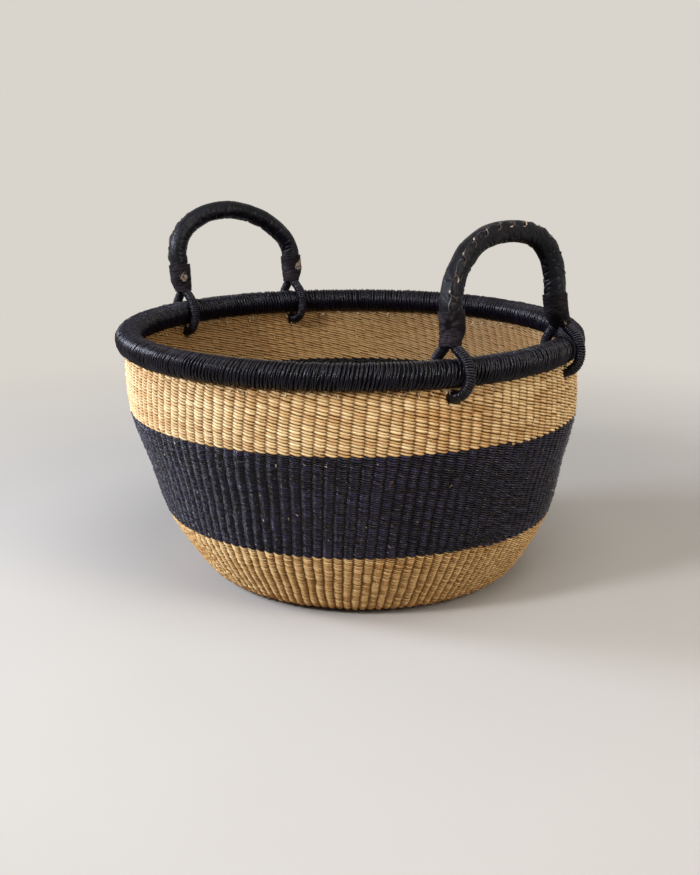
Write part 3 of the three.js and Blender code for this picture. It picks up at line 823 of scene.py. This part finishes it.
# An eye's centre line in its own plane: up two legs into the cuff, and round the rim between them
def eyeOutline(shape):
    bendX = eye["legOffset"] + eye["bend"]
    ring = shape["ring"]
    turn = math.atan2(eye["bendHeight"], bendX)
    turn -= math.acos((ring + eye["bend"]) / math.hypot(bendX, eye["bendHeight"]))
    half = [(eye["legOffset"], eye["end"]), (eye["legOffset"], eye["bendHeight"])]
    for i in range(1, 13):
        angle = math.pi + turn * i / 12
        half.append((bendX + eye["bend"] * math.cos(angle),
                     eye["bendHeight"] + eye["bend"] * math.sin(angle)))
    for i in range(1, 31):
        angle = turn - (turn + math.pi / 2) * i / 30
        half.append((ring * math.cos(angle), ring * math.sin(angle)))
    return half + [(-x, z) for x, z in reversed(half[:-1])]


def pathLength(points):
    return sum((b - a).length for a, b in zip(points, points[1:]))


def evenly(points, step):
    total = pathLength(points)
    count = round(total / step)
    result = []
    travelled = 0
    at = 0
    for i in range(count + 1):
        goal = total * i / count
        while at < len(points) - 2 and travelled + (points[at + 1] - points[at]).length < goal:
            travelled += (points[at + 1] - points[at]).length
            at += 1
        reach = (points[at + 1] - points[at]).length
        result.append(points[at].lerp(points[at + 1], min(1, (goal - travelled) / reach)))
    return result


# Closed skin through rings of points, with values for the material at each point
def skinPiece(name, shape, rings, material, marks):
    sides = len(rings[0])
    faces = []
    for i in range(len(rings)):
        here = i * sides
        there = (i + 1) % len(rings) * sides
        for k in range(sides):
            after = (k + 1) % sides
            faces.append((here + k, here + after, there + after, there + k))
    piece = meshPiece(name, [shape["place"] @ point for ring in rings for point in ring], faces, material)
    for label, values in marks.items():
        piece.data.attributes.new(label, "FLOAT", "POINT").data.foreach_set("value", values)
    return piece


def signedTurn(angle, middle):
    return (angle - middle + math.pi) % (2 * math.pi) - math.pi


def evenAngles(count):
    return [2 * math.pi * k / count for k in range(count)]


# Angles round the grip, from its crest towards the outside, crowd where the leather laps
seam = math.radians(leather["seam"])
gripAngles = [seam + a - leather["crowding"] * math.sin(a) for a in evenAngles(leather["sides"])]
cuffAngles = evenAngles(cuff["sides"])


def noiseAt(x, y, z):
    return noise.noise(Vector((x, y, z)))


# How deep a place lies in a fold, from 0 to 1
def foldAt(x, y, z, width):
    return max(0, width - abs(noiseAt(x, y, z))) / width


def gripRings(points, radiusAt):
    rings = []
    travelled = 0
    for i, point in enumerate(points):
        before = points[max(0, i - 1)]
        tangent = (points[min(len(points) - 1, i + 1)] - before).normalized()
        crest = Vector((0, -tangent.z, tangent.y))
        if i:
            travelled += (point - before).length
        ring = []
        for angle in gripAngles:
            out = crest * math.cos(angle) + Vector((math.sin(angle), 0, 0))
            ring.append(point + out * radiusAt(travelled, angle, out.x))
        rings.append(ring)
    return rings


# How far past the lap's edge an angle lies, in widths of the lap, and how far it is from a stitch there
def lapAt(shape, travelled, angle):
    over = signedTurn(angle, seam) / math.radians(leather["lapWidth"])
    stitches = (travelled - lacing["end"]) * shape["stitches"] / (shape["length"] - 2 * lacing["end"])
    lobe = 0.5 - 0.5 * math.cos(2 * math.pi * (stitches - 0.25) + over * leather["slant"])
    return over + 0.4 * lobe, lobe


# 0 where a cuff covers the grip, 1 where the grip is bare
def bareShare(shape, travelled):
    fromEnd = min(travelled, shape["length"] - travelled)
    return smoothShare(fromEnd, leather["bareFrom"], leather["bareTo"])


def makeLeather(name, shape):
    number = shape["turn"]

    def radiusAt(travelled, angle, outX):
        past, lobe = lapAt(shape, travelled, angle)
        ridge = leather["ridge"] * smoothShare(past, -0.12, 0.05) * (1 - smoothShare(past, 0, 1.6))
        ridge *= 0.4 + 0.6 * lobe
        crest, side = math.cos(angle), math.sin(angle)
        lump = noiseAt(travelled * 70, crest * 1.2, side * 1.2 + number)
        fold = foldAt(travelled * 170 + outX, crest * 0.9 + number, side * 0.9, leather["foldWidth"])
        crease = leather["crease"] * fold * (0.6 - 0.4 * crest)  # deepest where the grip faces the hand's gap
        bare = bareShare(shape, travelled)
        return leather["radius"] - leather["play"] + (ridge - crease) * bare + leather["lump"] * lump

    points = evenly(gripPoints(shape), leather["step"])
    outer = gripRings(points, radiusAt)
    inner = gripRings(points, lambda *at: leather["radius"] - leather["thickness"])
    rubbed = []
    for i in range(len(outer)):
        travelled = i * leather["step"]
        for angle in gripAngles:
            past = lapAt(shape, travelled, angle)[0]
            rubbed.append(0.75 * bareShare(shape, travelled) * (1 - smoothShare(abs(past), 0.04, 0.16)))
    rubbed += [0] * len(rubbed)
    return skinPiece(name, shape, outer + list(reversed(inner)), gripLeather, {"rubbed": rubbed})


def cuffOutline(shape, side, height, depth, width, square, wrinkle=None):
    ring = []
    for angle in cuffAngles:
        x, y = [math.copysign(abs(c) ** (2 / square), c) for c in (math.cos(angle), math.sin(angle))]
        grown = wrinkle(height, angle) if wrinkle else 0
        ring.append(Vector(((depth + grown) * x, side * legAt(shape, height) + (width + grown) * y, height)))
    return ring


def makeCuff(name, shape, side):
    number = shape["turn"] + 5 * side
    low, high = cuff["bottom"], cuff["top"]

    # How many of its widths a point lies from a mark, and in which direction
    def nearMark(mark, height, angle):
        across = signedTurn(angle, math.radians(mark[0])) * cuff["full"]
        rise = (height - mark[1]) * (1 - 0.35 * mark[3])
        return math.hypot(across, rise) / mark[2], math.atan2(rise, across)

    # The hole share becomes painted shade: the material colours it near black
    def marked(height, angle):
        hole, rubbed = 0, 0
        for mark in cuffMarks[name]:
            away = nearMark(mark, height, angle)[0]
            hole = max(hole, mark[3] * (1 - smoothShare(away, 0.5, 1.1)))
            rubbed = max(rubbed, mark[4] * smoothShare(away, -0.5, 0.5) * (1 - smoothShare(away, 0.5, 1.3)))
        return hole, rubbed

    def pleats(height, angle):
        total = 0
        for mark in cuffMarks[name]:
            away, way = nearMark(mark, height, angle)
            rays = math.cos(9 * way) * smoothShare(away, 0.5, 1.2) * (1 - smoothShare(away, 1.5, 4.5))
            total += mark[3] * (0.0007 * rays - 0.0012 * (1 - smoothShare(away, 0.3, 1.2)))
        return total

    def wrinkle(height, angle):
        share = (height - low) / (high - low)
        x, y = math.cos(angle), math.sin(angle)
        body = 0.0003 * noiseAt(x * 1.3, y * 1.3, height * 90 + number)
        fold = cuff["fold"] * foldAt(height * 330, x * 1.4 + number, y * 1.4, cuff["foldWidth"])
        gather = cuff["gather"] * abs(noiseAt(x * 3.2, y * 3.2 + number, height * 30)) * (1 - share) ** 2
        return body - fold * (1 - 0.6 * share) - gather + pleats(height, angle)

    rings = []
    marks = []
    for i in range(cuff["levels"] + 1):
        share = i / cuff["levels"]
        swell = smoothShare(share, -0.35, 0.45)
        height = low + (high - low) * share
        depth = cuff["mouthDepth"] + (cuff["full"] - cuff["mouthDepth"]) * swell
        width = cuff["mouthWidth"] + (cuff["full"] - cuff["mouthWidth"]) * smoothShare(share, -0.15, 0.5)
        rings.append(cuffOutline(shape, side, height, depth, width, 2.7 - 0.7 * swell, wrinkle))
        marks += [marked(height, angle) for angle in cuffAngles]
    # Down the inside: round the grip, then round the eye's two legs, and wide at the mouth
    middle = eye["end"]
    inside = [
        (high, cuff["grip"] + 0.0003, cuff["grip"] + 0.0003), (high - 0.0005, cuff["grip"], cuff["grip"]),
        (middle, cuff["grip"], cuff["grip"]), (middle - 0.0001, eye["legOffset"] + cuff["leg"], cuff["leg"]),
        (low + 0.004, cuff["mouthDepth"] - 2 * cuff["skin"], cuff["mouthWidth"] - 2 * cuff["skin"]),
        (low, cuff["mouthDepth"] - cuff["skin"], cuff["mouthWidth"] - cuff["skin"])]
    for height, depth, width in inside:
        rings.append(cuffOutline(shape, side, height, depth, width, 2.0 if depth == width else 2.6))
        marks += [(0, 0)] * cuff["sides"]
    return skinPiece(name, shape, rings, cuffLeather, {
        "hole": [hole for hole, rubbed in marks], "rubbed": [rubbed for hole, rubbed in marks]})


# Thong whipped over the leather's edges: each turn crosses the seam on top and comes back under the leather
def makeLaceTree():
    graph, given = newTree("lacing", {
        "Object": ["Guide"], "Vector": ["Axis"], "Int": ["Stitches", "Steps", "Seed"],
        "Float": ["From", "To", "Radius", "Reach", "Lift", "Seam", "Width", "Thickness"]})
    line = pointLine(graph, given["Stitches"] * given["Steps"] + 1)
    passed = graph.add("GeometryNodeInputIndex") / given["Steps"]
    turn = passed * (2 * math.pi)
    stitch = graph.maths("FLOOR", passed + 0.25)
    loose = graph.noise(graph.vector(stitch, given["Seed"] * 3.3, 0.4), 1.7, 1) - 0.5
    gone = passed + loose * 0.2 + graph.maths("COSINE", turn) * 0.06
    share = given["From"] + (given["To"] - given["From"]) * gone / given["Stitches"]
    angle = given["Seam"] + given["Reach"] * graph.maths("COSINE", turn) * (1 + loose) / given["Radius"]
    radius = given["Radius"] + given["Lift"] * graph.maths("SINE", turn)
    place, facing = roundGuide(graph, given, share, math.pi - angle, radius)
    return endStrands(graph, given, line, place, 8, {"tone": loose + 0.5, "along": passed, "facing": facing})


# Grows a piece along a line through the points, which goes when the piece is there
def growAlong(name, tree, points, values):
    guide = guideLine(name + "_line", points)
    piece = grow(name, tree, {**values, "Guide": guide})
    bpy.data.objects.remove(guide)
    return piece


laceTree = makeLaceTree()


def makeEnd(part, body, shape, side):
    place = shape["place"]
    chord = tuple(place.to_3x3() @ Vector((0, 1, 0)))
    settle(makeCuff(part + "_cuff_leather", shape, side), body, "black_leather", part + "_cuff")
    line = [Vector((x, side * legAt(shape, z), z)) for x, z in eyeOutline(shape)]
    stems = growAlong(part + "_eye_stems", bundleTree, [place @ point for point in line], {
        **eyeCore, "Material": rawGrass, "Axis": chord})
    settle(stems, body, "black_grass", part + "_eye")
    wound = [place @ point for point in line if point.z < cuff["bottom"] + 0.001]  # up to the cuff's mouth
    length = pathLength(wound)
    strand = growAlong(part + "_eye_strand", windingTree, wound, {
        **eyeWinding, "Material": blackGrass, "Axis": chord, "Turns": round(length / eyeWinding["pitch"]),
        "Radius": eye["radius"] - eyeWinding["Thickness"] / 2, "Length": length,
        "Seed": round(shape["turn"]) + side})
    settle(strand, body, "black_grass", part + "_eye_wrap")


def makeHandle(name, shape):
    line = gripPoints(shape)
    shape["length"] = pathLength(line)
    shape["stitches"] = round((shape["length"] - 2 * lacing["end"]) / lacing["pitch"])
    line = [shape["place"] @ point for point in line]
    axis = tuple(shape["place"].to_3x3() @ Vector((1, 0, 0)))
    settle(makeLeather(name + "_grip", shape), name, "black_leather", name + "_leather")
    core = growAlong(name + "_core_stems", bundleTree, line, {
        **gripCore, "Material": rawGrass, "Axis": axis})
    settle(core, name, "raw_grass", name + "_core")
    end = lacing["end"] / shape["length"]
    lace = growAlong(name + "_thong", laceTree, line, {
        **lacing, "Material": thongLeather, "Axis": axis, "From": end, "To": 1 - end, "Steps": 16,
        "Stitches": shape["stitches"], "Radius": leather["radius"] - 0.0001,
        "Seam": math.radians(leather["seam"] + 9), "Seed": round(shape["turn"])})
    settle(lace, name, "thong", name + "_lacing")
    for label, side in (("left", -1), ("right", 1)):
        makeEnd(name + "_" + label, name, shape, side)


for name, shape in handles.items():
    makeHandle(name, shape)
bpy.data.objects.remove(wallGuide)
bpy.data.objects.remove(rimGuide)
print("handles done")


# Camera at the photograph's angle, and soft light from its left
view = {"azimuth": 49.05, "level": 1.1342, "height": 0.199, "pitch": 14.75, "lens": 51.63}
azimuth = math.radians(view["azimuth"])
towards = Vector((math.sin(azimuth), -math.cos(azimuth), 0))
toRight = Vector((-towards.y, towards.x, 0))


# Places a camera or a lamp and points it along a direction
def aim(made, place, direction):
    made.location = place
    made.rotation_mode = "QUATERNION"
    made.rotation_quaternion = direction.to_track_quat("-Z", "Y")


camera = newObject("camera", bpy.data.cameras.new("camera"))
camera.data.lens = view["lens"]
pitch = math.radians(view["pitch"])
aim(camera, rim["centre"] + towards * view["level"] + Vector((0, 0, view["height"])),
    -towards * math.cos(pitch) - Vector((0, 0, math.sin(pitch))))
bpy.context.scene.camera = camera


def softLamp(name, right, near, up, size, power, colour):
    lamp = newObject(name, bpy.data.lights.new(name, "AREA"))
    lamp.data.shape = "DISK"
    lamp.data.size = size
    lamp.data.energy = power
    lamp.data.color = paint(colour)[:3]
    place = rim["centre"] + toRight * right + towards * near + Vector((0, 0, up))
    aim(lamp, place, rim["centre"] - Vector((0, 0, 0.1)) - place)


lamps = {
    "key": {"right": -1.2, "near": 1.1, "up": 0.9, "size": 0.35, "power": 26, "colour": "#f2f6ff"},
    "window": {"right": -1.7, "near": -0.1, "up": 0.7, "size": 0.6, "power": 33, "colour": "#e4ecff"},
    "top": {"right": 0.3, "near": 0.7, "up": 1.8, "size": 1.4, "power": 18, "colour": "#ffffff"},
    "fill": {"right": 1.3, "near": 1.2, "up": 0.9, "size": 1.0, "power": 18, "colour": "#fff6ea"},
}
for name, lamp in lamps.items():
    softLamp(name, **lamp)


# 1 for the rays that show the background, in the picture or in a gloss, and 0 for those that light by it
def seesBackground(graph):
    path = graph.add("ShaderNodeLightPath")
    return graph.maths("MINIMUM", path + path.also("Is Glossy Ray") + path.also("Is Transmission Ray"), 1)


room = {
    "backdrop": "#d9d4cc", "daylight": "#c9c9c9", "daylightPower": 0.38, "bounce": "#7a5f45",
    "floor": ("#b4afa8", "#bbb7b0"), "floorPatches": 3, "shadowFade": (0.3, 1.1),
}
backdrop = paint(room["backdrop"])
black = (0, 0, 0, 1)


def makeWorld():
    world = bpy.data.worlds.new("studio")
    world.use_nodes = True
    bpy.context.scene.world = world
    graph = Graph(world.node_tree)
    seen = seesBackground(graph)
    power = room["daylightPower"]
    shine = graph.add("ShaderNodeBackground", {}, {
        "Color": graph.blend(seen, paint(room["daylight"]), backdrop),
        "Strength": seen * (1 - power) + power})
    graph.feed(graph.tree.nodes.new("ShaderNodeOutputWorld").inputs[0], shine)


# The floor shows the object's shadow near it and runs out into the backdrop's colour
def makeFloor():
    material, graph = newMaterial("pale floor")
    seen = seesBackground(graph)
    where = objectPlace(graph)
    far = graph.fade(graph.measure("LENGTH", where), *room["shadowFade"]) * seen
    colour = graph.blend(graph.noise(where, room["floorPatches"], 4), *map(paint, room["floor"]))
    colour = graph.blend(seen, paint(room["bounce"]), colour)
    endMaterial(graph, {
        "Base Color": graph.blend(far, colour, black), "Roughness": 0.9, "Specular IOR Level": 0,
        "Emission Color": graph.blend(far, black, backdrop), "Emission Strength": 1})
    corners = [Vector((x, y, 0)) for x, y in ((-6, -6), (6, -6), (6, 6), (-6, 6))]
    meshPiece("floor", corners, [(0, 1, 2, 3)], material)


makeWorld()
makeFloor()
bpy.context.scene.view_settings.view_transform = "Standard"
print("scene done")
